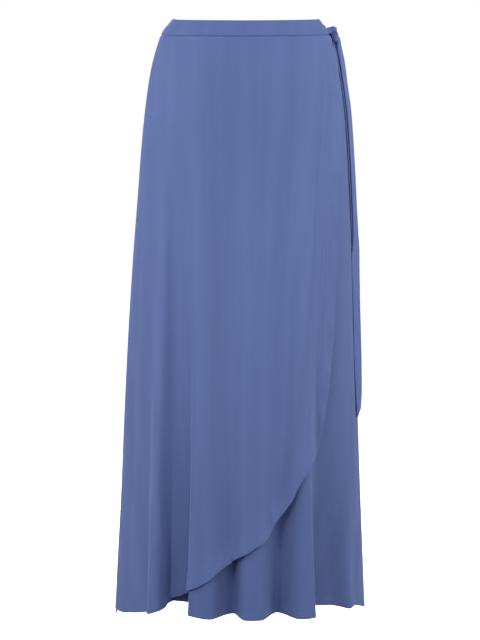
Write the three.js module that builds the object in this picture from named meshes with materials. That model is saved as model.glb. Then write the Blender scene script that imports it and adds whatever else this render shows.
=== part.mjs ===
import * as THREE from 'three';

// Long wrap skirt in jersey, worn shape, empty inside.
// Millimetres, Z up, the front faces -Y. The origin is the middle of the waist opening,
// half way up the waistband.

// Driving sizes
const CLOTH = 1.2;
const BAND_CLOTH = 2;
const BAND_TOP = 11;
const BAND_BOTTOM = -13.2;
const FRONT_DIP = 7.2;
const SEAM_GAP = 0.3;
const OVER_LAYER = 2.6;
const HIP_LEVEL = -200;
const HEM_LEVEL = -915;
const CORNER_FULLNESS = 0.03;
const BROAD_FOLD = 10;
const DOME = 0.14;
const PANEL_ROWS = 12;
const CLOTH_COLOUR = 0x5f6fa2;

// Directions round the body are in degrees: 0 is the front, 90 the right side of the picture,
// 180 the back and 270 (or -90) the left side of the picture.
const LEFT_SEAM = -90;
const RIGHT_SEAM = 90;
const UNDER_END = -76;
const OVER_END = 74;

// Half widths and depths of the body of the skirt, from the waist down
const SECTIONS = [
  { z: 12, left: 110, right: 114, front: 91, back: 92 },
  { z: -12.5, left: 129, right: 129.5, front: 98, back: 100 },
  { z: -38, left: 138.5, right: 138.5, front: 102.5, back: 108 },
  { z: -69, left: 146.5, right: 146.5, front: 106, back: 116 },
  { z: -132, left: 156, right: 156.5, front: 109.5, back: 127 },
  { z: -196, left: 162.5, right: 161.5, front: 110.5, back: 130 },
  { z: -259, left: 167.5, right: 165, front: 111.5, back: 131 },
  { z: -355, left: 175.5, right: 169.8, front: 112.5, back: 131 },
  { z: -483, left: 184.5, right: 174, front: 114.5, back: 132 },
  { z: -612, left: 191.5, right: 178.5, front: 116.5, back: 134 },
  { z: -742, left: 197.5, right: 183.5, front: 118.5, back: 136 },
  { z: -872, left: 205, right: 189, front: 120, back: 139 },
  { z: -945, left: 208.8, right: 192, front: 121, back: 141 },
];

// Folds that hang from below the hip: where the ridge is at the hem, its half width, how far each
// flank is spread, how far it stands out, how far each flank leans over, where it begins, and how
// much lower its hem hangs
const FOLDS = [
  { at: -37, half: 3.2, left: 2.1, right: 1.5, out: 43, leanLeft: 4, leanRight: 1, top: -110, drop: 5 },
  { at: 4.2, half: 24.8, left: 1.2, right: 2, out: 26, leanLeft: 7, leanRight: 2, top: -190, drop: 4 },
  { at: -15, half: 5.6, left: 1.3, right: 4, out: 34, leanLeft: 5, leanRight: 0, top: -190, drop: 4 },
  { at: 3.8, half: 6, left: 2.4, right: 3.8, out: 35, leanLeft: 3, leanRight: 0, top: -170, drop: 5 },
  { at: 23.4, half: 6, left: 4, right: 2.2, out: 35, leanLeft: 0, leanRight: 2, top: -150, drop: 5 },
  { at: 53, half: 5, left: 5.5, right: 7, out: 12, leanLeft: 0, leanRight: 0, top: -240, drop: 4 },
  { at: 121, half: 5, left: 3.5, right: 3, out: 20, leanLeft: 0, leanRight: 2, top: -170, drop: 4 },
  { at: 141, half: 5, left: 2.6, right: 3.8, out: 42, leanLeft: 4, leanRight: 0, top: -150, drop: 7 },
  { at: 161, half: 5.4, left: 3.6, right: 2.3, out: 52, leanLeft: 0, leanRight: 4, top: -210, drop: 7 },
  { at: 181, half: 4.8, left: 2.5, right: 3.4, out: 48, leanLeft: 4, leanRight: 0, top: -160, drop: 7 },
  { at: 201, half: 5.4, left: 3.2, right: 2.5, out: 53, leanLeft: 0, leanRight: 4, top: -190, drop: 7 },
  { at: 222, half: 4.8, left: 2.5, right: 3.6, out: 40, leanLeft: 4, leanRight: 0, top: -140, drop: 7 },
  { at: 241, half: 5.4, left: 3.4, right: 3.4, out: 20, leanLeft: 0, leanRight: 0, top: -170, drop: 4 },
];

// Height of the hem between the folds, at each direction
const HEM = [
  { at: -90, z: -942 },
  { at: -65, z: -930 },
  { at: -45, z: -919 },
  { at: -30, z: -900 },
  { at: -10, z: -908 },
  { at: 8, z: -906 },
  { at: 34, z: -908 },
  { at: 62, z: -917 },
  { at: 90, z: -931 },
  { at: 180, z: -934 },
  { at: 270, z: -942 },
];

// Free edge of the outer front panel: height at each direction
const WRAP_EDGE = [
  { at: -35.6, z: -930 },
  { at: -32.8, z: -894 },
  { at: -27, z: -887 },
  { at: -20, z: -873 },
  { at: -14, z: -857 },
  { at: -11.2, z: -844 },
  { at: -7.5, z: -833 },
  { at: -2.4, z: -823 },
  { at: 4, z: -804 },
  { at: 8.2, z: -791 },
  { at: 10.7, z: -771 },
  { at: 15.4, z: -756 },
  { at: 19.6, z: -736 },
  { at: 22, z: -713 },
  { at: 25, z: -693 },
  { at: 27.5, z: -680 },
  { at: 33, z: -665 },
  { at: 38.8, z: -596 },
  { at: 43.2, z: -522 },
  { at: 46.2, z: -463 },
  { at: 48, z: -390 },
  { at: 50.3, z: -310 },
  { at: 53, z: -245 },
  { at: 55, z: -205 },
  { at: 60, z: -140 },
  { at: 67, z: -80 },
  { at: 74, z: -42 },
];

// Half knot at the side: two strands turned half way round a nearly upright axis
const KNOT = {
  x: 138, y: -11.8, top: -6.2, drop: 16.4, leanOut: 4.6,
  radius: 4.45, entry: -18, turn: 172, wide: 6.3, thick: 3.7,
};
const UNDER_STRAND_DROP = 5.8;

// Rows of the ties that lie on the skirt: direction, height, distance of the middle of the tie
// outside the cloth, its section, and how far its flat side turns and tips from the cloth
const FRONT_TIE_START = [
  { at: 74.9, z: -9, off: 3.9, wide: 12, thick: 2, turn: 0, tip: 30 },
  { at: 76.8, z: -7.8, off: 5.6, wide: 7.6, thick: 3.2, turn: 0, tip: 26 },
  { at: 79.2, z: -6.2, off: 9.8, wide: 6.8, thick: 4.2, turn: -20, tip: 8 },
];
const BACK_TIE_START = [
  { at: 102, z: -9, off: 3.6, wide: 12, thick: 2, turn: 0, tip: 30 },
  { at: 96, z: -10, off: 4.6, wide: 10, thick: 3, turn: 0, tip: 24 },
  { at: 90.3, z: -10.2, off: 9, wide: 6.8, thick: 4, turn: 0, tip: 12 },
];
const SHORT_TAIL = [
  { at: 81.8, z: -31, off: 5.2, wide: 9.8, thick: 3.4, turn: -29, tip: 0 },
  { at: 81.4, z: -52, off: 4.9, wide: 13, thick: 2.8, turn: -24, tip: 0 },
  { at: 80.4, z: -92, off: 4.6, wide: 18, thick: 2.6, turn: -16, tip: 0 },
  { at: 79.8, z: -134, off: 4.7, wide: 18, thick: 2.6, turn: -16, tip: 0 },
  { at: 79.6, z: -210, off: 4.8, wide: 18, thick: 2.6, turn: -16, tip: 0 },
  { at: 79.6, z: -290, off: 4.8, wide: 18, thick: 2.6, turn: -16, tip: 0 },
  { at: 79.6, z: -352, off: 4.8, wide: 17, thick: 2.6, turn: -16, tip: 0 },
];
const LONG_TAIL = [
  { at: 83.2, z: -33, off: 11.4, wide: 9.8, thick: 3.4, turn: -29, tip: 0 },
  { at: 82.4, z: -54, off: 10.6, wide: 13, thick: 2.8, turn: -24, tip: 0 },
  { at: 81, z: -92, off: 8.3, wide: 18, thick: 2.6, turn: -16, tip: 0 },
  { at: 80.4, z: -134, off: 8.2, wide: 18, thick: 2.6, turn: -16, tip: 0 },
  { at: 80, z: -210, off: 8.2, wide: 18, thick: 2.6, turn: -16, tip: 0 },
  { at: 80, z: -290, off: 8.2, wide: 18, thick: 2.6, turn: -16, tip: 0 },
  { at: 80, z: -352, off: 8.2, wide: 19, thick: 2.6, turn: -16, tip: 0 },
  { at: 79.6, z: -374, off: 6.8, wide: 20, thick: 2.6, turn: -20, tip: 0 },
  { at: 79.2, z: -430, off: 5.8, wide: 20, thick: 2.6, turn: -23, tip: 0 },
  { at: 79.2, z: -520, off: 5.6, wide: 20, thick: 2.6, turn: -23, tip: 0 },
  { at: 79.8, z: -580, off: 5.2, wide: 20, thick: 2.6, turn: -17, tip: 0 },
  { at: 80.6, z: -614, off: 4.4, wide: 19, thick: 2.6, turn: -9, tip: 0 },
];

const clamp = (value, low, high) => Math.min(high, Math.max(low, value));
const radians = (degrees) => degrees * Math.PI / 180;

// Smooth curve through the rows of a table that never swings past them
function follow(rows, key, column, at) {
  const up = rows[0][key] < rows[rows.length - 1][key] ? rows : rows.slice().reverse();
  const last = up.length - 1;
  let k = 0;
  while (k < last - 1 && at > up[k + 1][key]) {
    k += 1;
  }
  const gap = (i) => up[i + 1][key] - up[i][key];
  const rise = (i) => (up[i + 1][column] - up[i][column]) / gap(i);
  const slope = (i) => {
    if (i === 0) {
      return rise(0);
    }
    if (i === last) {
      return rise(last - 1);
    }
    const before = rise(i - 1);
    const after = rise(i);
    if (before * after <= 0) {
      return 0;
    }
    const wide = 2 * gap(i) + gap(i - 1);
    const narrow = gap(i) + 2 * gap(i - 1);
    return (wide + narrow) / (wide / before + narrow / after);
  };
  const h = gap(k);
  const t = clamp((at - up[k][key]) / h, -0.4, 1.4);
  const t2 = t * t;
  const t3 = t2 * t;
  return up[k][column] * (2 * t3 - 3 * t2 + 1) + h * slope(k) * (t3 - 2 * t2 + t)
    + up[k + 1][column] * (3 * t2 - 2 * t3) + h * slope(k + 1) * (t3 - t2);
}

// Soft step from 0 to 1
function ease(t) {
  const s = clamp(t, 0, 1);
  return s * s * (3 - 2 * s);
}

// Same direction, between -180 and 180
function wrapped(angle) {
  return angle - 360 * Math.round(angle / 360);
}

// Point of the plain body of the skirt
function body(angle, z) {
  const side = Math.sin(radians(angle));
  const ahead = Math.cos(radians(angle));
  const half = follow(SECTIONS, 'z', side < 0 ? 'left' : 'right', z);
  const depth = follow(SECTIONS, 'z', ahead > 0 ? 'front' : 'back', z);
  const full = 1 + CORNER_FULLNESS * Math.sin(2 * radians(angle)) ** 2;
  return [half * side * full, -depth * ahead * full];
}

// Threads hang plumb below the hip, so nearer the side seam the higher they are
function threadAngle(thread, z) {
  const angle = wrapped(thread);
  const column = angle < 0 ? 'left' : 'right';
  const hip = follow(SECTIONS, 'z', column, Math.min(z, HIP_LEVEL));
  const wide = follow(SECTIONS, 'z', column, HEM_LEVEL) / hip;
  const near = Math.min(Math.abs(angle), 180 - Math.abs(angle)) / 90;
  const moved = 90 * near * (wide - (wide - 1) * near * near);
  const turned = Math.abs(angle) <= 90 ? moved : 180 - moved;
  return angle < 0 ? -turned : turned;
}

// How far a ridge reaches at a thread, and where on the ridge the thread is
function ridge(fold, thread, z) {
  const grown = clamp((fold.top - z) / (fold.top - HEM_LEVEL), 0, 1.05) ** 1.25;
  const spread = 1 + 2.2 * (1 - Math.min(grown, 1));
  const place = wrapped(thread - fold.at);
  const left = ease((place + fold.half) / (2 * fold.left * spread) + 0.5);
  const right = ease((place - fold.half) / (2 * fold.right * spread) + 0.5);
  return { share: left * (1 - right), grown, across: clamp(place / fold.half, -1, 1) };
}

// Point of the folded cloth; bridge lifts the valleys between the ridges, also those on a broad one
function folded(thread, z, bridge) {
  const angle = threadAngle(thread, z);
  const [x, y] = body(angle, z);
  const before = body(angle - 0.25, z);
  const after = body(angle + 0.25, z);
  const length = Math.hypot(after[0] - before[0], after[1] - before[1]);
  const tx = (after[0] - before[0]) / length;
  const ty = (after[1] - before[1]) / length;
  let out = 0;
  let lean = 0;
  let covered = 0;
  for (const fold of FOLDS) {
    const { share, grown, across } = ridge(fold, thread, z);
    out += share * grown * fold.out * (1 - DOME * across * across);
    lean += share * grown * across * across * (across < 0 ? -fold.leanLeft : fold.leanRight);
    covered += fold.half < BROAD_FOLD ? share : 0;
  }
  out += bridge * (1 - clamp(covered, 0, 1));
  return [x + ty * out + tx * lean, y - tx * out + ty * lean];
}

// Point at a distance outside the folded cloth, shifted along it by a seam allowance
function cloth(thread, z, off, shift, bridge) {
  const [x, y] = folded(thread, z, bridge);
  const before = folded(thread - 0.1, z, bridge);
  const after = folded(thread + 0.1, z, bridge);
  const length = Math.hypot(after[0] - before[0], after[1] - before[1]);
  const tx = (after[0] - before[0]) / length;
  const ty = (after[1] - before[1]) / length;
  return [x + ty * off + tx * shift, y - tx * off + ty * shift, z];
}

function frontDip(thread) {
  return FRONT_DIP * Math.max(0, Math.cos(radians(thread))) ** 1.5;
}

function hemHeight(thread) {
  let z = follow(HEM, 'at', 'z', thread);
  for (const fold of FOLDS) {
    const { share, across } = ridge(fold, thread, HEM_LEVEL);
    z -= fold.drop * share * (1 - 2 * DOME * across * across);
  }
  return z;
}

// Under the outer wrap the inner one is cut a little shorter
function underHem(thread) {
  return hemHeight(thread) + 5 * ease((-30 - thread) / 8);
}

// Threads for the columns of a panel: closer together where the hem turns
function columns(from, to) {
  const COLUMN_LENGTH = 28;
  const COLUMN_TURN = radians(46);
  const step = 0.2;
  const count = Math.round((to - from) / step);
  const marks = [{ thread: from, measure: 0 }];
  let last = folded(from, HEM_LEVEL, 0);
  let heading = null;
  for (let i = 1; i <= count; i += 1) {
    const thread = from + (to - from) * i / count;
    const here = folded(thread, HEM_LEVEL, 0);
    const next = Math.atan2(here[1] - last[1], here[0] - last[0]);
    const bend = heading === null ? 0 : next - heading;
    const turn = Math.abs(Math.atan2(Math.sin(bend), Math.cos(bend)));
    const length = Math.hypot(here[0] - last[0], here[1] - last[1]);
    marks.push({ thread, measure: marks[i - 1].measure + length / COLUMN_LENGTH + turn / COLUMN_TURN });
    last = here;
    heading = next;
  }
  const total = marks[count].measure;
  const columnCount = Math.round(total);
  const threads = [];
  for (let c = 0; c <= columnCount; c += 1) {
    const goal = total * c / columnCount;
    const k = clamp(marks.findIndex((mark) => mark.measure >= goal - 1e-9), 1, count);
    const before = marks[k - 1];
    const t = clamp((goal - before.measure) / (marks[k].measure - before.measure), 0, 1);
    threads.push(before.thread + (marks[k].thread - before.thread) * t);
  }
  return threads;
}

// Columns of one panel: its two ends, the shared columns between them and any wanted ones
function panelColumns(ring, from, to, wanted) {
  const APART = 0.9;
  const kept = [from, ...wanted, to];
  for (const thread of ring) {
    const inside = thread > from && thread < to;
    if (inside && kept.every((other) => Math.abs(other - thread) > APART)) {
      kept.push(thread);
    }
  }
  return kept.sort((a, b) => a - b);
}

function mesh(name, points, triangles) {
  const geometry = new THREE.BufferGeometry();
  geometry.setAttribute('position', new THREE.Float32BufferAttribute(points.flat(), 3));
  geometry.setIndex(triangles.flat());
  geometry.computeVertexNormals();
  const material = new THREE.MeshStandardMaterial({ color: CLOTH_COLOUR, roughness: 0.85 });
  const made = new THREE.Mesh(geometry, material);
  made.name = name;
  return made;
}

// Closed wall from a grid of columns and rows; place(i, j, face) gives inner (0) and outer (1) points
function wall(name, across, down, place) {
  const points = [];
  const index = (i, j, face) => (face * (across + 1) + i) * (down + 1) + j;
  for (let face = 0; face < 2; face += 1) {
    for (let i = 0; i <= across; i += 1) {
      for (let j = 0; j <= down; j += 1) {
        points.push(place(i, j, face));
      }
    }
  }
  const triangles = [];
  const quad = (a, b, c, d) => triangles.push([a, b, c], [a, c, d]);
  for (let i = 0; i < across; i += 1) {
    for (let j = 0; j < down; j += 1) {
      quad(index(i, j, 1), index(i, j + 1, 1), index(i + 1, j + 1, 1), index(i + 1, j, 1));
      quad(index(i, j, 0), index(i + 1, j, 0), index(i + 1, j + 1, 0), index(i, j + 1, 0));
    }
    quad(index(i, 0, 1), index(i + 1, 0, 1), index(i + 1, 0, 0), index(i, 0, 0));
    quad(index(i + 1, down, 1), index(i, down, 1), index(i, down, 0), index(i + 1, down, 0));
  }
  for (let j = 0; j < down; j += 1) {
    quad(index(0, j + 1, 1), index(0, j, 1), index(0, j, 0), index(0, j + 1, 0));
    quad(index(across, j, 1), index(across, j + 1, 1), index(across, j + 1, 0), index(across, j, 0));
  }
  return mesh(name, points, triangles);
}

// Seams are shared out: each piece stops half the gap short at its first and last column
function seamShift(i, last) {
  return (i === 0 ? SEAM_GAP / 2 : 0) - (i === last ? SEAM_GAP / 2 : 0);
}

function panel(name, threads, bottom, layer, bridge) {
  const last = threads.length - 1;
  return wall(name, last, PANEL_ROWS, (i, j, face) => {
    const thread = threads[i];
    const top = BAND_BOTTOM - frontDip(thread) - SEAM_GAP;
    const z = top + (bottom(thread) - top) * (j / PANEL_ROWS) ** 1.4;
    return cloth(thread, z, layer(thread) + face * CLOTH, seamShift(i, last), bridge(thread, z));
  });
}

function band(name, from, to, layer, top, bottom) {
  const BAND_STEP = 5;
  const last = Math.round((to - from) / BAND_STEP);
  return wall(name, last, 2, (i, j, face) => {
    const thread = from + (to - from) * i / last;
    const high = top(thread);
    const z = high + (bottom(thread) - high) * j / 2;
    return cloth(thread, z, layer(thread) + face * BAND_CLOTH, seamShift(i, last), 0);
  });
}

// The outer wrap lies over the inner one, and comes down to the body at the left side seam
function overLayer(thread) {
  return OVER_LAYER * ease((thread - LEFT_SEAM) / (UNDER_END - LEFT_SEAM - 2));
}

// Near its free edge the outer wrap spans the valleys of the inner one
function overBridge(thread, z) {
  const across = ease((thread + 62) / 24) * (1 - ease((thread - 38) / 20));
  return 14 * across * clamp((-300 - z) / 560, 0, 1);
}

function underLayer() {
  return 0;
}

function wrapEdge(thread) {
  return Math.max(hemHeight(thread), follow(WRAP_EDGE, 'at', 'z', Math.max(thread, WRAP_EDGE[0].at)));
}

function bandTop(thread) {
  return BAND_TOP - frontDip(thread);
}

function bandBottom(thread) {
  return BAND_BOTTOM - frontDip(thread);
}

function taper(thread) {
  return ease((thread - 60) / (OVER_END - 60));
}

function onSkirt(row) {
  const [x, y, z] = cloth(row.at, row.z, row.off, 0, 0);
  const [nearX, nearY] = cloth(row.at, row.z, 0, 0, 0);
  const outward = Math.atan2(y - nearY, x - nearX) * 180 / Math.PI;
  return { ...row, x, y, z, face: outward + row.turn };
}

// The strands have turned by half a turn when they leave the knot
function tail(row) {
  const laid = onSkirt(row);
  return { ...laid, face: laid.face + 180 };
}

// Strands of the half knot, turning round the axis as they go down
function knotStrand(start, drop) {
  const steps = 6;
  const rows = [];
  for (let i = 0; i <= steps; i += 1) {
    const turned = KNOT.turn * i / steps;
    const angle = radians(KNOT.entry + start + turned);
    const down = i / steps;
    rows.push({
      x: KNOT.x + KNOT.leanOut * down + KNOT.radius * Math.cos(angle),
      y: KNOT.y + KNOT.radius * Math.sin(angle),
      z: KNOT.top - drop - (KNOT.drop - drop) * down,
      wide: KNOT.wide,
      thick: KNOT.thick,
      face: KNOT.entry + turned,
      tip: 0,
    });
  }
  return rows;
}

// Flat tie swept along its rows; its flat side looks to face, tipped up by tip
function tie(name, rows, slant) {
  const steps = 2;
  const corner = [[1, 0.4], [0.8, 1], [-0.8, 1], [-1, 0.4], [-1, -0.4], [-0.8, -1], [0.8, -1], [1, -0.4]];
  const curve = new THREE.CatmullRomCurve3(rows.map((row) => new THREE.Vector3(row.x, row.y, row.z)));
  const last = (rows.length - 1) * steps;
  const points = [];
  for (let i = 0; i <= last; i += 1) {
    const k = Math.min(Math.floor(i / steps), rows.length - 2);
    const t = i / steps - k;
    const mix = (key) => rows[k][key] + (rows[k + 1][key] - rows[k][key]) * t;
    const centre = curve.getPoint(i / last);
    const along = curve.getTangent(i / last);
    const face = radians(mix('face'));
    const tip = radians(mix('tip'));
    const level = Math.cos(tip);
    const thick = new THREE.Vector3(Math.cos(face) * level, Math.sin(face) * level, Math.sin(tip));
    thick.addScaledVector(along, -thick.dot(along)).normalize();
    const wide = new THREE.Vector3().crossVectors(along, thick);
    for (const [w, n] of corner) {
      const point = centre.clone().addScaledVector(wide, w * mix('wide') / 2);
      point.addScaledVector(thick, n * mix('thick') / 2);
      point.addScaledVector(along, i === last ? w * slant : 0);
      points.push(point.toArray());
    }
  }
  const triangles = [];
  const ring = corner.length;
  for (let i = 0; i < last; i += 1) {
    for (let c = 0; c < ring; c += 1) {
      const a = i * ring + c;
      const b = i * ring + (c + 1) % ring;
      triangles.push([a, a + ring, b], [b, a + ring, b + ring]);
    }
  }
  for (let c = 1; c < ring - 1; c += 1) {
    triangles.push([0, c, c + 1]);
    triangles.push([last * ring, last * ring + c + 1, last * ring + c]);
  }
  return mesh(name, points, triangles);
}

const group = new THREE.Group();
group.name = 'wrap_skirt';
const ring = columns(LEFT_SEAM, LEFT_SEAM + 360);
const steepEdge = WRAP_EDGE.map((row) => row.at).filter((at) => at > 35 && at < OVER_END);
const overThreads = panelColumns(ring, LEFT_SEAM, OVER_END, steepEdge);
const underThreads = panelColumns(ring, UNDER_END, RIGHT_SEAM, []);
const backThreads = panelColumns(ring, RIGHT_SEAM, LEFT_SEAM + 360, []);
const upperStrand = knotStrand(0, 0);
const lowerStrand = knotStrand(180, UNDER_STRAND_DROP);
const frontTie = [...FRONT_TIE_START.map(onSkirt), ...upperStrand, ...SHORT_TAIL.map(tail)];
const backTie = [...BACK_TIE_START.map(onSkirt), ...lowerStrand, ...LONG_TAIL.map(tail)];
group.add(
  panel('back_panel', backThreads, hemHeight, underLayer, () => 0),
  panel('front_under', underThreads, underHem, underLayer, () => 0),
  panel('front_over', overThreads, wrapEdge, overLayer, overBridge),
  band('waistband_back', RIGHT_SEAM, LEFT_SEAM + 360, underLayer, bandTop, bandBottom),
  band('waistband_front_under', UNDER_END, RIGHT_SEAM, underLayer, bandTop, bandBottom),
  band('waistband_front_over', LEFT_SEAM, OVER_END, overLayer,
    (thread) => bandTop(thread) - 11 * taper(thread), (thread) => bandBottom(thread) + taper(thread)),
  tie('tie_front', frontTie, 5),
  tie('tie_back', backTie, -7),
);

export default group;
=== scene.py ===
import math

import bpy
import numpy as np
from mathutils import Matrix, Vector


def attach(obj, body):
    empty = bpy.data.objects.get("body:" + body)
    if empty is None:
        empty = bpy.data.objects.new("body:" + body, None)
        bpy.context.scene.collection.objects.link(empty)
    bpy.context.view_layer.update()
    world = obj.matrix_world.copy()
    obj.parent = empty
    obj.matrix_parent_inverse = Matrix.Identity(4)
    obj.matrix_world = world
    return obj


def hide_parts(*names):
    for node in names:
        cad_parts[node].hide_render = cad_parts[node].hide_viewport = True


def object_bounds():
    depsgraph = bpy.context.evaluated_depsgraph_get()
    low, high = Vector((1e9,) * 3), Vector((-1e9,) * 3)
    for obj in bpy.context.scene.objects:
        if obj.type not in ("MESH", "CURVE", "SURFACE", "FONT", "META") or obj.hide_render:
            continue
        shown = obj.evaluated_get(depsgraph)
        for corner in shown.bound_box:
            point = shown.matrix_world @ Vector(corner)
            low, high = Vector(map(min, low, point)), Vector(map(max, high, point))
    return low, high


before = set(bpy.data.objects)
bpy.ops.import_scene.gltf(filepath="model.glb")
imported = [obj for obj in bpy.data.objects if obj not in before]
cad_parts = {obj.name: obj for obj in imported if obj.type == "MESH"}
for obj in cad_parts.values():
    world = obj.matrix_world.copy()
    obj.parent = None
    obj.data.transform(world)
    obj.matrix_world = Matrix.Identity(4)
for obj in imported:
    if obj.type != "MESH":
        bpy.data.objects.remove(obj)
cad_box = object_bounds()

# Long wrap skirt in blue jersey, worn shape, empty inside. Sizes are millimetres, turned into
# the scene's metres when a mesh is made. Z is up, the front faces -Y, and directions round the
# body are degrees: 0 the front, 90 the right side of the picture, 180 the back, -90 or 270 the left.
MM = 0.001

# Driving sizes
CLOTH_INSIDE = 0.3
CLOTH_OUTSIDE = 1.2
BAND_THICK = 2.0
BAND_TOP = 11.0
BAND_BOTTOM = -13.2
FRONT_DIP = 7.2
SEAM_GAP = 0.1
OVER_LAYER = 2.6
HIP_LEVEL = -200.0
HEM_LEVEL = -915.0
CORNER_FULLNESS = 0.03
FULL_BRIDGE = 14.0
FLARE_REACH = 34.0
BROAD_FOLD = 10.0
DOME = 0.14
HEM_TURN_UP = 11.0
LEFT_SEAM = -90.0
RIGHT_SEAM = 90.0
UNDER_END = -76.0
OVER_END = 74.0


class Table:
    """Rows of numbers under named columns, and a smooth curve through any two of the columns."""

    def __init__(self, names, rows):
        self.names = names.split()
        self.rows = [dict(zip(self.names, row)) for row in rows]

    def column(self, name):
        return np.array([row[name] for row in self.rows], float)

    def follow(self, key, name, at):
        """Value of a column at a place on another, never swinging past the rows."""
        x, y = self.column(key), self.column(name)
        if x[0] > x[-1]:
            x, y = x[::-1], y[::-1]
        gap = np.diff(x)
        rise = np.diff(y) / gap
        before, after = rise[:-1], rise[1:]
        wide = 2 * gap[1:] + gap[:-1]
        narrow = gap[1:] + 2 * gap[:-1]
        agree = before * after > 0
        mean = (wide + narrow) / (wide / np.where(agree, before, 1) + narrow / np.where(agree, after, 1))
        slope = np.concatenate([rise[:1], np.where(agree, mean, 0), rise[-1:]])
        k = np.clip(np.searchsorted(x, at) - 1, 0, len(gap) - 1)
        t = np.clip((at - x[k]) / gap[k], -0.4, 1.4)
        t2, t3 = t**2, t**3
        return (
            y[k] * (2 * t3 - 3 * t2 + 1)
            + gap[k] * slope[k] * (t3 - 2 * t2 + t)
            + y[k + 1] * (3 * t2 - 2 * t3)
            + gap[k] * slope[k + 1] * (t3 - t2)
        )


# Half widths and depths of the body of the skirt, from the waist down
SECTIONS = Table(
    "z left right front back",
    [
        (12, 110, 114, 91, 92),
        (-12.5, 129, 129.5, 98, 100),
        (-38, 138.5, 138.5, 102.5, 108),
        (-69, 146.5, 146.5, 106, 116),
        (-132, 156, 156.5, 109.5, 127),
        (-196, 162.5, 161.5, 110.5, 130),
        (-259, 167.5, 165, 111.5, 131),
        (-355, 175.5, 169.8, 112.5, 131),
        (-483, 184.5, 174, 114.5, 132),
        (-612, 191.5, 178.5, 116.5, 134),
        (-742, 197.5, 183.5, 118.5, 136),
        (-872, 205, 189, 120, 139),
        (-945, 208.8, 192, 121, 141),
    ],
)

# Folds that hang from below the hip: where the ridge is at the hem, its half width, how far each
# flank is spread, how far it stands out, how far each flank leans over, where it begins, and how
# much lower its hem hangs
FOLDS = Table(
    "at half left right out lean_left lean_right top drop",
    [
        (-37, 3.2, 2.1, 1.5, 43, 4, 1, -110, 5),
        (4.2, 24.8, 1.2, 2, 26, 7, 2, -190, 4),
        (-15, 5.6, 1.3, 4, 34, 5, 0, -190, 4),
        (3.8, 6, 2.4, 3.8, 35, 3, 0, -170, 5),
        (23.4, 6, 4, 2.2, 35, 0, 2, -150, 5),
        (53, 5, 5.5, 7, 12, 0, 0, -240, 4),
        (121, 5, 3.5, 3, 20, 0, 2, -170, 4),
        (141, 5, 2.6, 3.8, 42, 4, 0, -150, 7),
        (161, 5.4, 3.6, 2.3, 52, 0, 4, -210, 7),
        (181, 4.8, 2.5, 3.4, 48, 4, 0, -160, 7),
        (201, 5.4, 3.2, 2.5, 53, 0, 4, -190, 7),
        (222, 4.8, 2.5, 3.6, 40, 4, 0, -140, 7),
        (241, 5.4, 3.4, 3.4, 20, 0, 0, -170, 4),
    ],
)

# Height of the hem between the folds, at each direction
HEM = Table(
    "at z",
    [
        (-90, -942), (-65, -930), (-45, -919), (-30, -900), (-10, -908), (8, -906),
        (34, -908), (62, -917), (90, -931), (180, -934), (270, -942),
    ],
)

# Free edge of the outer front panel: height at each direction
WRAP_EDGE = Table(
    "at z",
    [
        (-35.6, -930), (-32.8, -894), (-27, -887), (-20, -873), (-14, -857), (-11.2, -844),
        (-7.5, -833), (-2.4, -823), (4, -804), (8.2, -791), (10.7, -771), (15.4, -756),
        (19.6, -736), (22, -713), (25, -693), (27.5, -680), (33, -665), (38.8, -596),
        (43.2, -522), (46.2, -463), (48, -390), (50.3, -310), (53, -245), (55, -205),
        (60, -140), (67, -80), (74, -42),
    ],
)

# How far that edge stands off the inner folds, which fall away beneath it
EDGE_FLARE = Table(
    "at out",
    [
        (-34, 0), (-29, 3), (-24, 1), (-15, 1.5), (-11, 4.5), (-6, 5), (-2.5, 2.5), (4, 2),
        (8, 3), (11, 6.5), (15.5, 7), (19.5, 5), (23, 2), (30, 1), (50, 0),
    ],
)

# Half knot at the side: two strands turned half way round a nearly upright axis
KNOT_X, KNOT_Y, KNOT_TOP, KNOT_DROP = 138, -11.8, -6.2, 16.4
KNOT_LEAN_OUT, KNOT_RADIUS = 4.6, 3.4
KNOT_ENTRY, KNOT_TURN = -18.0, 172.0
STRAND_WIDE, STRAND_THICK = 10.5, 5.4
UNDER_STRAND_DROP = 5.8

# Rows of the ties that lie on the skirt: direction, height, distance of the middle of the tie
# outside the cloth, its section, and how far its flat side turns and tips from the cloth
TIE_COLUMNS = "at z off wide thick turn tip"
FRONT_TIE_START = Table(
    TIE_COLUMNS,
    [
        (74.9, -9, 3.9, 12, 2, 0, 30),
        (76.8, -7.8, 5.6, 9.5, 3.6, 0, 26),
        (79.2, -6.6, 9.4, 9.5, 5.0, -20, 8),
    ],
)
BACK_TIE_START = Table(
    TIE_COLUMNS,
    [
        (102, -9, 3.6, 12, 2, 0, 30),
        (96, -10, 4.6, 10, 3, 0, 24),
        (90.3, -10.2, 9, 8.4, 4.6, 0, 12),
    ],
)
SHORT_TAIL = Table(
    TIE_COLUMNS,
    [
        (81.8, -31, 5.6, 11, 3.6, -36, 0),
        (81.4, -52, 5, 14, 3, -28, 0),
        (80.4, -92, 4.6, 18, 2.6, -16, 0),
        (79.8, -134, 4.7, 18, 2.6, -16, 0),
        (79.6, -210, 4.8, 18, 2.6, -16, 0),
        (79.6, -290, 4.8, 18, 2.6, -16, 0),
        (79.6, -352, 4.8, 17, 2.6, -16, 0),
    ],
)
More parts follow.
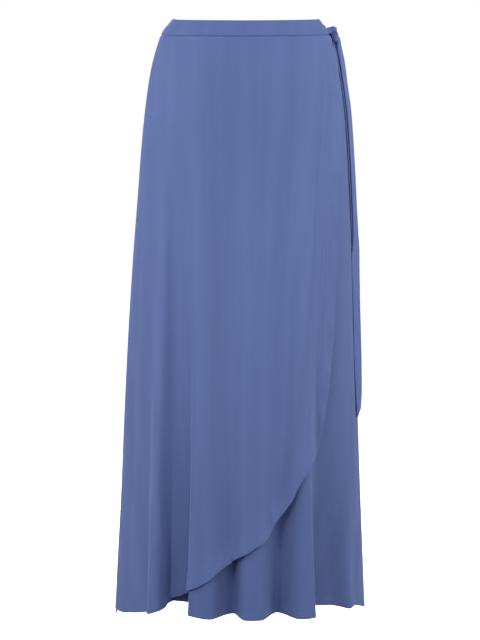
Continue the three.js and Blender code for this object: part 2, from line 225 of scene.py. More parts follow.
LONG_TAIL = Table(
    TIE_COLUMNS,
    [
        (83.2, -33, 11, 11, 3.6, -36, 0),
        (82.2, -54, 9.6, 14, 3.4, -28, 0),
        (80.9, -92, 7.7, 18, 2.6, -16, 0),
        (80.3, -134, 7.7, 18, 2.6, -16, 0),
        (79.9, -210, 7.7, 18, 2.6, -16, 0),
        (79.9, -290, 7.7, 18, 2.6, -16, 0),
        (80, -330, 7.6, 19, 2.6, -18, 0),
        (79.4, -352, 6.9, 21, 2.6, -24, 0),
        (79.0, -366, 6.0, 22, 2.6, -26, 0),
        (79.2, -430, 5.8, 20, 2.6, -23, 0),
        (79.2, -520, 5.6, 20, 2.6, -23, 0),
        (79.8, -580, 5.2, 20, 2.6, -17, 0),
        (80.6, -614, 4.4, 19, 2.6, -9, 0),
    ],
)

# Soft creases: direction, where each begins and ends, half width in degrees and
# how far it stands out, or in where negative
CREASES = Table(
    "at top bottom half out",
    [
        (-72, -250, -900, 3.0, 0.8),
        (-60, -150, -880, 3.5, -1.2),
        (-52, -300, -840, 2.6, 0.9),
        (-27, -420, -880, 2.0, -1.0),
        (-12, -180, -640, 2.6, -0.8),
        (13, -230, -700, 3.0, -1.0),
        (31, -170, -560, 2.4, 0.8),
        (43, -260, -620, 3.0, -0.9),
        (66, -380, -900, 3.5, 0.8),
        (76, -300, -860, 3.0, -0.8),
        (101, -240, -900, 4.0, -0.9),
        (131, -120, -520, 3.0, 0.8),
        (151, -260, -700, 2.6, -1.0),
        (171, -140, -560, 3.2, 0.9),
        (191, -300, -760, 2.6, -0.8),
        (212, -160, -600, 3.4, 0.8),
        (232, -240, -780, 3.0, -0.9),
        (255, -200, -900, 4.0, 0.7),
    ],
)


# Form of the cloth

def ease(t):
    """Soft step from 0 to 1."""
    s = np.clip(t, 0, 1)
    return s**2 * (3 - 2 * s)


def wrapped(angle):
    """Same direction, between -180 and 180."""
    return angle - 360 * np.round(angle / 360)


def body(angle, z):
    """Point of the plain body of the skirt."""
    side, ahead = np.sin(np.radians(angle)), np.cos(np.radians(angle))
    left, right = SECTIONS.follow("z", "left", z), SECTIONS.follow("z", "right", z)
    front, back = SECTIONS.follow("z", "front", z), SECTIONS.follow("z", "back", z)
    full = 1 + CORNER_FULLNESS * np.sin(2 * np.radians(angle)) ** 2
    return np.where(side < 0, left, right) * side * full, -np.where(ahead > 0, front, back) * ahead * full


def thread_angle(thread, z):
    """Threads hang plumb below the hip, so nearer the side seam the higher they are."""
    angle = wrapped(thread)
    level = np.minimum(z, HIP_LEVEL)
    wide = {}
    for side in ("left", "right"):
        wide[side] = SECTIONS.follow("z", side, np.array(HEM_LEVEL)) / SECTIONS.follow("z", side, level)
    growth = np.where(angle < 0, wide["left"], wide["right"])
    near = np.minimum(np.abs(angle), 180 - np.abs(angle)) / 90
    moved = 90 * near * (growth - (growth - 1) * near**2)
    turned = np.where(np.abs(angle) <= 90, moved, 180 - moved)
    return np.where(angle < 0, -turned, turned)


def ridge(fold, thread, z):
    """How far a ridge reaches at a thread, how far it has grown, and where on it the thread is."""
    grown = np.clip((fold["top"] - z) / (fold["top"] - HEM_LEVEL), 0, 1.05) ** 1.25
    spread = 1 + 2.2 * (1 - np.minimum(grown, 1))
    place = wrapped(thread - fold["at"])
    left = ease((place + fold["half"]) / (2 * fold["left"] * spread) + 0.5)
    right = ease((place - fold["half"]) / (2 * fold["right"] * spread) + 0.5)
    return left * (1 - right), grown, np.clip(place / fold["half"], -1, 1)


def creased(thread, z):
    """Height of the soft creases."""
    out = np.zeros_like(thread)
    for crease in CREASES.rows:
        place = wrapped(thread - crease["at"]) / crease["half"]
        length = crease["top"] - crease["bottom"]
        down = np.clip((crease["top"] - z) / length, 0, 1)
        out += crease["out"] * np.exp(-place**2) * ease(down / 0.35) * (1 - ease((down - 0.7) / 0.3))
    return out


def folded(thread, z, bridge=0.0):
    """Point of the folded cloth; bridge lifts the valleys between the ridges."""
    angle = thread_angle(thread, z)
    x, y = body(angle, z)
    before, after = body(angle - 0.25, z), body(angle + 0.25, z)
    tx, ty = after[0] - before[0], after[1] - before[1]
    length = np.hypot(tx, ty)
    tx, ty = tx / length, ty / length
    out, lean, covered = creased(thread, z), np.zeros_like(x), np.zeros_like(x)
    for fold in FOLDS.rows:
        share, grown, across = ridge(fold, thread, z)
        out = out + share * grown * fold["out"] * (1 - DOME * across**2)
        side = np.where(across < 0, -fold["lean_left"], fold["lean_right"])
        lean = lean + share * grown * across**2 * side
        covered = covered + share * (fold["half"] < BROAD_FOLD)
    out = out + bridge * (1 - np.clip(covered, 0, 1))
    return x + ty * out + tx * lean, y - tx * out + ty * lean


def cloth(thread, z, off, shift=0.0, bridge=0.0):
    """Points at a distance outside the folded cloth, shifted along it by a seam allowance."""
    thread, z = np.broadcast_arrays(np.asarray(thread, float), np.asarray(z, float))
    x, y = folded(thread, z, bridge)
    before, after = folded(thread - 0.1, z, bridge), folded(thread + 0.1, z, bridge)
    tx, ty = after[0] - before[0], after[1] - before[1]
    length = np.hypot(tx, ty)
    tx, ty = tx / length, ty / length
    return np.stack([x + ty * off + tx * shift, y - tx * off + ty * shift, z + 0 * x], axis=-1)


def front_dip(thread):
    return FRONT_DIP * np.maximum(0, np.cos(np.radians(thread))) ** 1.5


def hem_height(thread):
    z = HEM.follow("at", "z", thread)
    for fold in FOLDS.rows:
        share, _, across = ridge(fold, thread, np.full_like(thread, HEM_LEVEL))
        z = z - fold["drop"] * share * (1 - 2 * DOME * across**2)
    return z


def under_hem(thread):
    """Under the outer wrap the inner panel is cut a little shorter."""
    return hem_height(thread) + 5 * ease((-30 - thread) / 8)


def wrap_edge(thread):
    first = WRAP_EDGE.rows[0]["at"]
    return np.maximum(hem_height(thread), WRAP_EDGE.follow("at", "z", np.maximum(thread, first)))


def under_layer(thread):
    return 0 * thread


def over_layer(thread):
    """The outer wrap lies over the inner one, and comes down to the body at the left side seam."""
    return OVER_LAYER * ease((thread - LEFT_SEAM) / (UNDER_END - LEFT_SEAM - 2))


def no_bridge(thread, z):
    return 0 * thread


def over_bridge(thread, z):
    """Near its free edge the outer wrap spans the valleys of the inner one."""
    across = ease((thread + 62) / 24) * (1 - ease((thread - 38) / 20))
    return FULL_BRIDGE * across * np.clip((-300 - z) / 560, 0, 1)


def band_top(thread):
    return BAND_TOP - front_dip(thread)


def band_bottom(thread):
    return BAND_BOTTOM - front_dip(thread)


def over_band_top(thread):
    return band_top(thread) - 11 * ease((thread - 60) / (OVER_END - 60))


def over_band_bottom(thread):
    return band_bottom(thread) + ease((thread - 60) / (OVER_END - 60))


# Meshes

COLUMN_LENGTH = 8.0
COLUMN_TURN = math.radians(12)
COLUMN_CLIMB = 24.0
DEGREE_LENGTH = 3.0
CLOTH_ROUNDING = 0.45
BAND_ROUNDING = 1.0
BELOW_SEAM = np.array([0, 0.1, 0.3, 0.7, 1.3, 2.2, 3.6, 5.2, 7.4, 10.5, 15])
ABOVE_EDGE = np.array([0, 0.1, 0.3, 0.8, 2.5, 6, 9.4, 10.6, 12, 17])
BETWEEN = 68
BELOW_FOLD = np.array([0, 0.06, 0.2, 0.45, 0.8, 1.3, 2.2])
ABOVE_SEAM = np.array([0, 0.1, 0.3, 0.7, 1.3, 2.2])
BAND_BETWEEN = 16
BAND_STEP = 1.5
NEAR_SIDE = np.array([0.04, 0.12, 0.28, 0.55, 0.95])


def rounded(distance, radius):
    """Share of the full thickness at a distance from a rounded edge."""
    return np.sqrt(np.maximum(0, 1 - np.maximum(0, 1 - distance / radius) ** 2))


def piece(name, points, faces, uv_maps):
    """Smooth mesh object from points and maps in millimetres."""
    mesh = bpy.data.meshes.new(name)
    mesh.from_pydata((points * MM).tolist(), [], faces)
    corners = np.empty(len(mesh.loops), int)
    mesh.loops.foreach_get("vertex_index", corners)
    for label, uv in uv_maps.items():
        layer = mesh.uv_layers.new(name=label)
        layer.data.foreach_set("uv", (uv[corners] * MM).ravel())
    mesh.polygons.foreach_set("use_smooth", np.ones(len(mesh.polygons), bool))
    obj = bpy.data.objects.new(name, mesh)
    bpy.context.scene.collection.objects.link(obj)
    return obj


def lengths(points, axis):
    """Running length along one axis of a grid of points."""
    start = np.take(points, [0], axis=axis)
    return np.cumsum(np.linalg.norm(np.diff(points, axis=axis, prepend=start), axis=-1), axis=axis)


def shell(name, threads, z, middle, half, bridge, edge_distance):
    """Closed shell of cloth from a grid of columns and rows, half its thickness to each side of
    the middle, and no thickness at its first and last row."""
    count, rows = z.shape
    thread = np.repeat(threads[:, None], rows, axis=1)
    lift = bridge(thread, z)
    shift = np.zeros_like(z)
    shift[0] = SEAM_GAP / 2
    shift[-1] = -SEAM_GAP / 2
    outside = cloth(thread, z, middle + half, shift, lift)
    inside = cloth(thread, z, middle - half, shift, lift)

    def looped(grid):
        """Outer face from top to bottom, then the inner one back up."""
        return np.concatenate([grid, grid[:, -2:0:-1]], axis=1)

    points = np.concatenate([outside, inside[:, -2:0:-1]], axis=1)
    around = points.shape[1]
    index = np.arange(count * around).reshape(count, around)
    after = np.roll(index, -1, axis=1)
    walls = np.stack([index[:-1], after[:-1], after[1:], index[1:]], axis=-1).reshape(-1, 4)
    down = np.arange(rows - 1)
    outer, outer_low = index[:, down], index[:, down + 1]
    inner, inner_low = index[:, -down % around], index[:, (-down - 1) % around]
    first = np.stack([outer[0], inner[0], inner_low[0], outer_low[0]], axis=-1)
    last = np.stack([outer[-1], outer_low[-1], inner_low[-1], inner[-1]], axis=-1)
    faces = [list(dict.fromkeys(face)) for face in np.concatenate([walls, first, last]).tolist()]

    across = lengths(outside, 0)
    across = across - across[count // 2]
    fall = lengths(outside, 1)
    hem = np.repeat(across[:, -1:], rows, axis=1)
    maps = {
        "Cloth": np.stack([looped(across).ravel(), -looped(fall).ravel()], axis=-1),
        "Edge": np.stack([looped(hem).ravel(), looped(edge_distance).ravel()], axis=-1),
    }
    return piece(name, points.reshape(-1, 3), faces, maps)


def panel_columns(first, last, bottom):
    """Threads of a panel's columns: closer where the hem turns, its edge climbs or a seam is near."""
    fine = np.linspace(first, last, int((last - first) / 0.1) + 1)
    step = np.diff(cloth(fine, HEM_LEVEL, 0)[:, :2], axis=0)
    heading = np.unwrap(np.arctan2(step[:, 1], step[:, 0]))
    turn = np.abs(np.diff(heading, prepend=heading[:1]))
    climb = np.abs(np.diff(bottom(fine)))
    pace = np.hypot(step[:, 0], step[:, 1]) / COLUMN_LENGTH + turn / COLUMN_TURN + climb / COLUMN_CLIMB
    measure = np.concatenate([[0], np.cumsum(pace)])
    inner = np.interp(np.arange(1, round(measure[-1])) / round(measure[-1]) * measure[-1], measure, fine)
    inner = inner[(inner > first + 1.2) & (inner < last - 1.2)]
    return np.concatenate([[first], first + NEAR_SIDE, inner, last - NEAR_SIDE[::-1], [last]])


def rows_between(top, bottom, below_top, above_bottom, between):
    """Heights of the rows of each column: close together at both ends, evenly spaced between them."""
    high = top[:, None] - below_top
    low = bottom[:, None] + above_bottom
    share = np.arange(1, between + 1) / (between + 1)
    middle = high[:, -1:] + (low[:, -1:] - high[:, -1:]) * share
    return np.concatenate([high, middle, low[:, ::-1]], axis=1)


def seam_dip(threads):
    """The cloth turns in at the sewn sides."""
    side = np.minimum(threads - threads[0], threads[-1] - threads) * DEGREE_LENGTH
    return -0.6 * (1 - ease(side / 1.5))[:, None]


def no_flare(threads, from_edge):
    return 0 * from_edge


def edge_flare(threads, from_edge):
    """The outer wrap's free edge stands off the inner folds."""
    first, last = EDGE_FLARE.rows[0]["at"], EDGE_FLARE.rows[-1]["at"]
    out = EDGE_FLARE.follow("at", "out", np.clip(threads, first, last))
    return out[:, None] * (1 - ease(from_edge / FLARE_REACH))


def panel(name, first, last, bottom, layer, bridge, flare):
    """Panel of the skirt between two threads, from the seam of the band down to its edge."""
    threads = panel_columns(first, last, bottom)
    top = BAND_BOTTOM - front_dip(threads) - SEAM_GAP
    low = bottom(threads)
    edge = cloth(threads, low, 0)[:, :2]
    travel = lengths(edge, 0)
    steep = np.sqrt(1 + np.gradient(low, travel) ** 2)[:, None]
    squeeze = np.minimum(1, (top - low)[:, None] / (40 + 17 * steep + 15))
    z = rows_between(top, low, BELOW_SEAM * squeeze, ABOVE_EDGE * steep * squeeze, BETWEEN)
    from_seam = top[:, None] - z
    from_edge = (z - low[:, None]) / steep
    turned_up = 0.25 * ease((HEM_TURN_UP - from_edge) / 1.4)
    half = (CLOTH_OUTSIDE - CLOTH_INSIDE) / 2 + turned_up
    half = half * rounded(from_edge, CLOTH_ROUNDING) * rounded(from_seam, CLOTH_ROUNDING)
    middle = (CLOTH_OUTSIDE + CLOTH_INSIDE) / 2 + layer(threads)[:, None] + seam_dip(threads)
    middle = middle - 0.8 * (1 - ease(from_seam / 1.8))
    middle = middle + 0.4 * ease((from_seam - 1.5) / 2) * (1 - ease((from_seam - 5.5) / 3.5))
    middle = middle + flare(threads, from_edge)
    return shell(name, threads, z, middle, half, bridge, from_edge)


def band(name, first, last, layer, top, bottom):
    """Folded waistband between two threads, with small ripples by the knot."""
    inner = np.linspace(first, last, round((last - first) / BAND_STEP) + 1)[1:-1]
    threads = np.concatenate([[first], first + NEAR_SIDE, inner, last - NEAR_SIDE[::-1], [last]])
    high, low = top(threads), bottom(threads)
    squeeze = np.minimum(1, (high - low)[:, None] / 12)
    z = rows_between(high, low, BELOW_FOLD * squeeze, ABOVE_SEAM * squeeze, BAND_BETWEEN)
    from_top = high[:, None] - z
    from_seam = z - low[:, None]
    half = BAND_THICK / 2 * rounded(from_top, BAND_ROUNDING) * rounded(from_seam, CLOTH_ROUNDING)
    middle = BAND_THICK / 2 + layer(threads)[:, None] + seam_dip(threads)
    middle = middle - 0.7 * (1 - ease(from_seam / 1.8))
    gathered = ease((threads - 52) / 20)[:, None] * (threads[-1] < 80)
    middle = middle + 0.45 * gathered * np.sin((from_seam + 2) * 2 * math.pi / 6.5)
    return shell(name, threads, z, middle, half, no_bridge, from_seam)


# Ties and their knot

SECTION_POINTS = 24
SECTION_SQUARE = 3.2
TIE_STEP = 2.5
TIE_HOLLOW = 0.16
END_ROUNDING = np.array([0, 0.12, 0.35, 0.8, 1.6])
TIE_END_ROUND = 1.4
TIE_END_WIDTH = 0.9
SLANT_LENGTH = 30.0
TIE_MAP_HALF = 10.0


def on_skirt(table, turned=0.0):
    """Rows of a tie laid over the cloth, with places and directions in the scene."""
    rows = []
    for row in table.rows:
        x, y, z = cloth(row["at"], row["z"], row["off"])
        near_x, near_y, _ = cloth(row["at"], row["z"], 0)
        outward = math.degrees(math.atan2(y - near_y, x - near_x))
        rows.append([x, y, z, row["wide"], row["thick"], outward + row["turn"] + turned, row["tip"]])
    return rows


def knot_strand(start, drop):
    """A strand of the half knot, turning round the knot's axis as it goes down."""
    rows = []
    for down in np.linspace(0, 1, 7):
        angle = math.radians(KNOT_ENTRY + start + KNOT_TURN * down)
        x = KNOT_X + KNOT_LEAN_OUT * down + KNOT_RADIUS * math.cos(angle)
        y = KNOT_Y + KNOT_RADIUS * math.sin(angle)
        z = KNOT_TOP - drop - (KNOT_DROP - drop) * down
        rows.append([x, y, z, STRAND_WIDE, STRAND_THICK, KNOT_ENTRY + KNOT_TURN * down, 0])
    return rows


def smooth_path(points, at):
    """Centripetal Catmull-Rom curve through the points; at counts points from 0."""
    ends = np.concatenate([[2 * points[0] - points[1]], points, [2 * points[-1] - points[-2]]])
    k = np.clip(np.floor(at).astype(int), 0, len(points) - 2)
    t = (at - k)[:, None]
    p0, p1, p2, p3 = (ends[k + i] for i in range(4))
    spans = (p1 - p0, p2 - p1, p3 - p2)
    d0, d1, d2 = (np.sqrt(np.linalg.norm(span, axis=1))[:, None] for span in spans)
    leave = d1 * ((p1 - p0) / d0 - (p2 - p0) / (d0 + d1) + (p2 - p1) / d1)
    arrive = d1 * ((p2 - p1) / d1 - (p3 - p1) / (d1 + d2) + (p3 - p2) / d2)
    t2, t3 = t**2, t**3
    return (
        p1 * (2 * t3 - 3 * t2 + 1)
        + leave * (t3 - 2 * t2 + t)
        + p2 * (3 * t2 - 2 * t3)
        + arrive * (t3 - t2)
    )


def tie(name, rows, slant):
    """Flat tie swept along its rows, softly rounded and a little hollow between its edges."""
    rows = np.array(rows, float)
    fine = np.linspace(0, len(rows) - 1, 40 * len(rows))
    run = lengths(smooth_path(rows[:, :3], fine), 0)
    even = np.linspace(0, run[-1], int(run[-1] / TIE_STEP))[1:-1]
    even = even[(even > 2) & (even < run[-1] - 2)]
    marks = np.concatenate([END_ROUNDING, even, run[-1] - END_ROUNDING[::-1]])
    at = np.interp(marks, run, fine)
    centre = smooth_path(rows[:, :3], at)
    along = smooth_path(rows[:, :3], np.minimum(at + 0.01, len(rows) - 1))
    along = along - smooth_path(rows[:, :3], np.maximum(at - 0.01, 0))
    along /= np.linalg.norm(along, axis=1)[:, None]
    wide, thick, face, tip = (np.interp(at, np.arange(len(rows)), rows[:, c]) for c in (3, 4, 5, 6))
    face, tip = np.radians(face), np.radians(tip)
    out = np.stack([np.cos(face) * np.cos(tip), np.sin(face) * np.cos(tip), np.sin(tip)], axis=-1)
    out -= along * np.sum(out * along, axis=1)[:, None]
    out /= np.linalg.norm(out, axis=1)[:, None]
    side = np.cross(along, out)
    from_end = np.minimum(marks, run[-1] - marks)
    full = np.maximum(0.03, rounded(from_end, TIE_END_ROUND))
    turn = np.linspace(0, 2 * math.pi, SECTION_POINTS, endpoint=False)
    power = 2 / SECTION_SQUARE
    w = np.sign(np.cos(turn)) * np.abs(np.cos(turn)) ** power
    n = np.sign(np.sin(turn)) * np.abs(np.sin(turn)) ** power * (1 - TIE_HOLLOW * (1 - w**2))
    slanted = slant * np.clip(1 - (run[-1] - marks) / SLANT_LENGTH, 0, 1)
    width = wide * (TIE_END_WIDTH + (1 - TIE_END_WIDTH) * full)
    points = (
        centre[:, None]
        + side[:, None] * (w[:, None] * width[:, None, None] / 2)
        + out[:, None] * (n[:, None] * (thick * full)[:, None, None] / 2)
        + along[:, None] * (w[:, None] * slanted[:, None, None])
    )
    count = len(marks)
    index = np.arange(count * SECTION_POINTS).reshape(count, SECTION_POINTS)
    after = np.roll(index, -1, axis=1)
    walls = np.stack([index[:-1], index[1:], after[1:], after[:-1]], axis=-1).reshape(-1, 4)
    faces = walls.tolist() + [index[0].tolist(), index[-1, ::-1].tolist()]
    across = np.repeat((w * TIE_MAP_HALF)[None, :], count, axis=0)
    down = np.repeat(-marks[:, None], SECTION_POINTS, axis=1)
    edge = np.repeat((TIE_MAP_HALF * (1 - np.abs(w)))[None, :], count, axis=0)
    maps = {
        "Cloth": np.stack([across.ravel(), down.ravel()], axis=-1),
        "Edge": np.stack([-down.ravel(), edge.ravel()], axis=-1),
    }
    return piece(name, points.reshape(-1, 3), faces, maps)


# Jersey, made of nodes: knit, soft streaks, colour that varies a little, painted shade in the hollows of
# the knit, painted light and shade along soft upright creases, and hem stitches. The sizes of the knit and
# the stitches are metres.

JERSEY_COLOUR = (0.086, 0.122, 0.268)
ROUGHNESS = 0.78
SPECULAR = 0.25
SHEEN = 0.22
SHEEN_ROUGHNESS = 0.45
SHEEN_COLOUR = (0.66, 0.76, 1.0)
WALE = 0.0011
COURSE = 0.0008
STITCH = 0.0026
STITCH_LINE = 0.0092


class Nodes:
    """Small helper that adds and joins shader nodes."""

    def __init__(self, material):
        material.use_nodes = True
        self.tree = material.node_tree
        self.tree.nodes.clear()

    def add(self, kind, settings=None, **sockets):
        node = self.tree.nodes.new(kind)
        for name, value in (settings or {}).items():
            setattr(node, name, value)
        for name, value in sockets.items():
            self.feed(node.inputs[name.replace("_", " ")], value)
        return node

    def feed(self, socket, value):
        if isinstance(value, bpy.types.NodeSocket):
            self.tree.links.new(value, socket)
        else:
            socket.default_value = value

    def math(self, operation, *values):
        node = self.tree.nodes.new("ShaderNodeMath")
        node.operation = operation
        for socket, value in zip(node.inputs, values):
            self.feed(socket, value)
        return node.outputs[0]

    def ramp(self, value, low, high, to_low=0.0, to_high=1.0):
        node = self.add("ShaderNodeMapRange", {"interpolation_type": "SMOOTHSTEP"})
        for socket, number in zip(node.inputs, (value, low, high, to_low, to_high)):
            self.feed(socket, number)
        return node.outputs[0]

    def bump(self, height, distance, strength, normal=None):
        node = self.add("ShaderNodeBump", Strength=strength, Distance=distance, Height=height)
        if normal is not None:
            self.feed(node.inputs["Normal"], normal)
        return node.outputs["Normal"]

    def noise(self, vector, scale, detail=2.0, roughness=0.5):
        made = self.add("ShaderNodeTexNoise", Vector=vector, Scale=scale, Detail=detail)
        made.inputs["Roughness"].default_value = roughness
        return made.outputs["Fac"]

    def stretched(self, vector, across, along):
        made = self.add("ShaderNodeVectorMath", {"operation": "MULTIPLY"})
        self.feed(made.inputs[0], vector)
        made.inputs[1].default_value = (across, along, 1.0)
        return made.outputs["Vector"]


def knit(nodes, cloth_map):
    """Height of the knit: upright wales of small loops."""
    parts = nodes.add("ShaderNodeSeparateXYZ", Vector=cloth_map)
    wale = nodes.math("SINE", nodes.math("MULTIPLY", parts.outputs["X"], 2 * math.pi / WALE))
    slope = nodes.math("MULTIPLY", nodes.math("ABSOLUTE", wale), 2.2)
    course = nodes.math("MULTIPLY", parts.outputs["Y"], 2 * math.pi / COURSE)
    loop = nodes.math("SINE", nodes.math("ADD", course, slope))
    return nodes.math("ADD", nodes.math("MULTIPLY", wale, 0.6), nodes.math("MULTIPLY", loop, 0.4))


def stitches(nodes):
    """Height of the row of stitches that holds the turned hem."""
    edge_map = nodes.add("ShaderNodeUVMap", {"uv_map": "Edge"}).outputs["UV"]
    parts = nodes.add("ShaderNodeSeparateXYZ", Vector=edge_map)
    off = nodes.math("ABSOLUTE", nodes.math("SUBTRACT", parts.outputs["Y"], STITCH_LINE))
    line = nodes.ramp(off, 0.0002, 0.0007, 1.0, 0.0)
    share = nodes.math("FRACT", nodes.math("DIVIDE", parts.outputs["X"], STITCH))
    dash = nodes.ramp(nodes.math("ABSOLUTE", nodes.math("SUBTRACT", share, 0.5)), 0.3, 0.45, 1.0, 0.0)
    return nodes.math("SUBTRACT", nodes.math("MULTIPLY", line, dash), line)


def jersey(name, colour, hemmed):
    """Matt jersey with a soft sheen; a hemmed one has a row of stitches along its edge."""
    material = bpy.data.materials.new(name)
    nodes = Nodes(material)
    cloth_map = nodes.add("ShaderNodeUVMap", {"uv_map": "Cloth"}).outputs["UV"]
    place = nodes.add("ShaderNodeTexCoord").outputs["Object"]
    loops = knit(nodes, cloth_map)
    streaks = nodes.noise(nodes.stretched(cloth_map, 1.0, 0.05), 130.0, 2.0)
    fibres = nodes.noise(cloth_map, 1900.0, 2.0, 0.6)
    clouds = nodes.noise(place, 5.0, 2.0)
    hang = nodes.noise(nodes.stretched(cloth_map, 1.0, 0.05), 30.0, 3.0)

    shade = nodes.ramp(clouds, 0.25, 0.75, 0.975, 1.025)
    grain = nodes.ramp(fibres, 0.3, 0.7, 0.95, 1.05)
    # between: painted shade in the hollows between the knit loops, down to 94 % where the knit height is
    # low.
    between = nodes.ramp(loops, -1.0, 0.2, 0.94, 1.0)
    # upright: painted light and shade of soft upright creases, from long streaky noise, between 94 % and
    # 106 %.
    upright = nodes.ramp(hang, 0.3, 0.7, 0.94, 1.06)
    value = nodes.math(
        "MULTIPLY", nodes.math("MULTIPLY", shade, grain), nodes.math("MULTIPLY", between, upright)
    )
    tint = nodes.add("ShaderNodeMix", {"data_type": "RGBA", "blend_type": "MULTIPLY"})
    tint.inputs["Factor"].default_value = 1.0
    tint.inputs["A"].default_value = (*colour, 1)
    grey = nodes.add("ShaderNodeCombineColor", Red=value, Green=value, Blue=value)
    nodes.feed(tint.inputs["B"], grey.outputs["Color"])

    normal = nodes.bump(streaks, 0.0008, 0.5)
    if hemmed:
        normal = nodes.bump(stitches(nodes), 0.0003, 0.5, normal)
    normal = nodes.bump(loops, 0.00012, 0.35, normal)
    surface = nodes.add("ShaderNodeBsdfPrincipled", Normal=normal, Roughness=ROUGHNESS, IOR=1.45)
    nodes.feed(surface.inputs["Base Color"], tint.outputs["Result"])
    surface.inputs["Specular IOR Level"].default_value = SPECULAR
    surface.inputs["Sheen Weight"].default_value = SHEEN
    surface.inputs["Sheen Roughness"].default_value = SHEEN_ROUGHNESS
    surface.inputs["Sheen Tint"].default_value = (*SHEEN_COLOUR, 1)
    output = nodes.add("ShaderNodeOutputMaterial")
    nodes.tree.links.new(surface.outputs["BSDF"], output.inputs["Surface"])
    return material


# Pieces

def dressed(obj, node, material):
    """Puts a piece in place of its solid, with its cloth."""
    obj.data.materials.append(material)
    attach(obj, "root")
    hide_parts(node)


def shaded(share):
    """The jersey's colour at a share of its full strength: a share below 1 is painted shade, a share above
    1 painted light.
    """
    return tuple(share * part for part in JERSEY_COLOUR)


# Copies of the one jersey at different shares: painted shade darkens the back and the inner front panel a
# lot and the band a little, and painted light lightens the ties a little.
outer_cloth = jersey("jersey_outer", shaded(1.0), True)
single_painted_shade_cloth = jersey("jersey_single_painted_shade", shaded(0.92), True)
band_cloth = jersey("jersey_band", shaded(0.99), False)
tie_cloth = jersey("jersey_tie", shaded(1.02), False)

back = panel("skirt_back", RIGHT_SEAM, LEFT_SEAM + 360, hem_height, under_layer, no_bridge, no_flare)
front_under = panel("skirt_front_under", UNDER_END, RIGHT_SEAM, under_hem, under_layer, no_bridge, no_flare)
front_over = panel("skirt_front_over", LEFT_SEAM, OVER_END, wrap_edge, over_layer, over_bridge, edge_flare)
band_back = band("band_back", RIGHT_SEAM, LEFT_SEAM + 360, under_layer, band_top, band_bottom)
band_under = band("band_front_under", UNDER_END, RIGHT_SEAM, under_layer, band_top, band_bottom)
band_over = band("band_front_over", LEFT_SEAM, OVER_END, over_layer, over_band_top, over_band_bottom)
upper_strand = knot_strand(0, 0)
lower_strand = knot_strand(180, UNDER_STRAND_DROP)
tie_front = tie("tie_short", on_skirt(FRONT_TIE_START) + upper_strand + on_skirt(SHORT_TAIL, 180), 5)
tie_back = tie("tie_long", on_skirt(BACK_TIE_START) + lower_strand + on_skirt(LONG_TAIL, 180), -7)


dressed(back, "back_panel", single_painted_shade_cloth)
dressed(front_under, "front_under", single_painted_shade_cloth)
dressed(front_over, "front_over", outer_cloth)
dressed(band_back, "waistband_back", band_cloth)
dressed(band_under, "waistband_front_under", band_cloth)
dressed(band_over, "waistband_front_over", band_cloth)
dressed(tie_front, "tie_front", tie_cloth)
dressed(tie_back, "tie_back", tie_cloth)


# Floor, light and camera, in metres

FLOOR_BELOW_HEM = 0.10
FLOOR_HALF = 9.0
FLOOR_GLOW = 0.8
AMBIENT_COLOUR = (0.76, 0.9, 1.3)
AMBIENT_ABOVE, AMBIENT_BELOW = 0.45, 0.14
CAMERA_PLACE = (-0.0088, -3.488, -0.177)
CAMERA_PITCH = 85.25
CAMERA_LENS = 123.05

SOFTBOXES = Table(
    "name x y z aim wide high power",
    [
        ("key_left", -0.85, -1.15, -0.08, -0.34, 0.6, 0.9, 10.4),
        ("key_right", 0.85, -1.15, -0.08, -0.34, 0.6, 0.9, 8.2),
        ("side_left", -1.5, -0.35, 0.35, -0.2, 0.8, 1.2, 15),
        ("side_right", 1.5, -0.35, 0.35, -0.2, 0.8, 1.2, 17),
        ("back_fill", 0, 2.2, 0.5, -0.3, 1.6, 1.2, 34),
    ],
)


def floor_plane(level):
    """Plain pale floor that doesn't light the cloth."""
    half = FLOOR_HALF
    mesh = bpy.data.meshes.new("floor")
    corners = [(-half, -half, level), (half, -half, level), (half, half, level), (-half, half, level)]
    mesh.from_pydata(corners, [], [(0, 1, 2, 3)])
    obj = bpy.data.objects.new("floor", mesh)
    bpy.context.scene.collection.objects.link(obj)
    material = bpy.data.materials.new("pale_floor")
    nodes = Nodes(material)
    surface = nodes.add("ShaderNodeBsdfPrincipled", Roughness=0.9)
    surface.inputs["Base Color"].default_value = (0.9, 0.9, 0.9, 1)
    surface.inputs["Emission Color"].default_value = (1, 1, 1, 1)
    surface.inputs["Emission Strength"].default_value = FLOOR_GLOW
    output = nodes.add("ShaderNodeOutputMaterial")
    nodes.tree.links.new(surface.outputs["BSDF"], output.inputs["Surface"])
    mesh.materials.append(material)
    obj.visible_diffuse = False


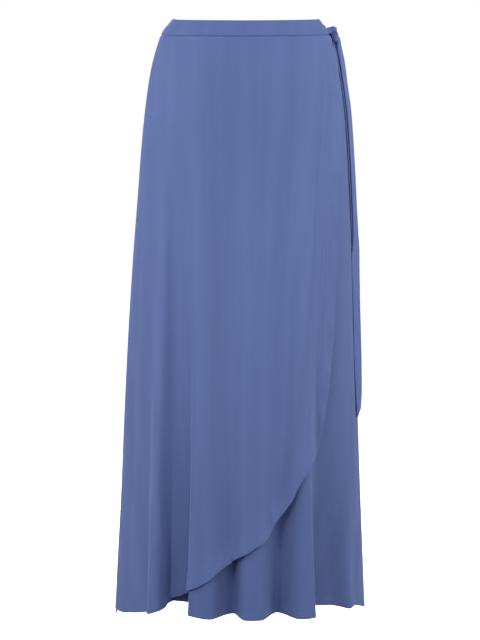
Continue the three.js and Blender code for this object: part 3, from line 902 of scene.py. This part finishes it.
def softbox(row):
    """Soft rectangular light that looks to a height on the skirt's axis."""
    light = bpy.data.lights.new(row["name"], "AREA")
    light.shape = "RECTANGLE"
    light.size, light.size_y = row["wide"], row["high"]
    light.energy = row["power"]
    obj = bpy.data.objects.new(row["name"], light)
    obj.location = (row["x"], row["y"], row["z"])
    aim = Vector((0, 0, row["aim"])) - obj.location
    obj.rotation_euler = aim.to_track_quat("-Z", "Y").to_euler()
    bpy.context.scene.collection.objects.link(obj)


def white_room(above, below):
    """White to look at, and a soft light from all round that is weaker from below."""
    world = bpy.data.worlds.new("white_room")
    bpy.context.scene.world = world
    nodes = Nodes(world)
    path = nodes.add("ShaderNodeLightPath")
    place = nodes.add("ShaderNodeTexCoord")
    parts = nodes.add("ShaderNodeSeparateXYZ", Vector=place.outputs["Generated"])
    strength = nodes.ramp(parts.outputs["Z"], -0.4, 0.4, below, above)
    lit = nodes.add("ShaderNodeBackground", Strength=strength)
    lit.inputs["Color"].default_value = (*AMBIENT_COLOUR, 1)
    seen = nodes.add("ShaderNodeBackground", Strength=1.0)
    seen.inputs["Color"].default_value = (1, 1, 1, 1)
    mix = nodes.add("ShaderNodeMixShader", Fac=path.outputs["Is Camera Ray"])
    nodes.tree.links.new(lit.outputs["Background"], mix.inputs[1])
    nodes.tree.links.new(seen.outputs["Background"], mix.inputs[2])
    output = nodes.add("ShaderNodeOutputWorld")
    nodes.tree.links.new(mix.outputs["Shader"], output.inputs["Surface"])


def camera():
    data = bpy.data.cameras.new("camera")
    data.lens = CAMERA_LENS
    data.sensor_width = 36.0
    data.clip_start = 0.1
    data.clip_end = 40.0
    obj = bpy.data.objects.new("camera", data)
    obj.location = CAMERA_PLACE
    obj.rotation_euler = (math.radians(CAMERA_PITCH), 0, 0)
    bpy.context.scene.collection.objects.link(obj)
    bpy.context.scene.camera = obj


floor_plane(cad_box[0].z - FLOOR_BELOW_HEM)
white_room(AMBIENT_ABOVE, AMBIENT_BELOW)
for softbox_row in SOFTBOXES.rows:
    softbox(softbox_row)
camera()
bpy.context.scene.view_settings.view_transform = "Standard"
bpy.context.scene.view_settings.look = "None"

bpy.context.view_layer.update()
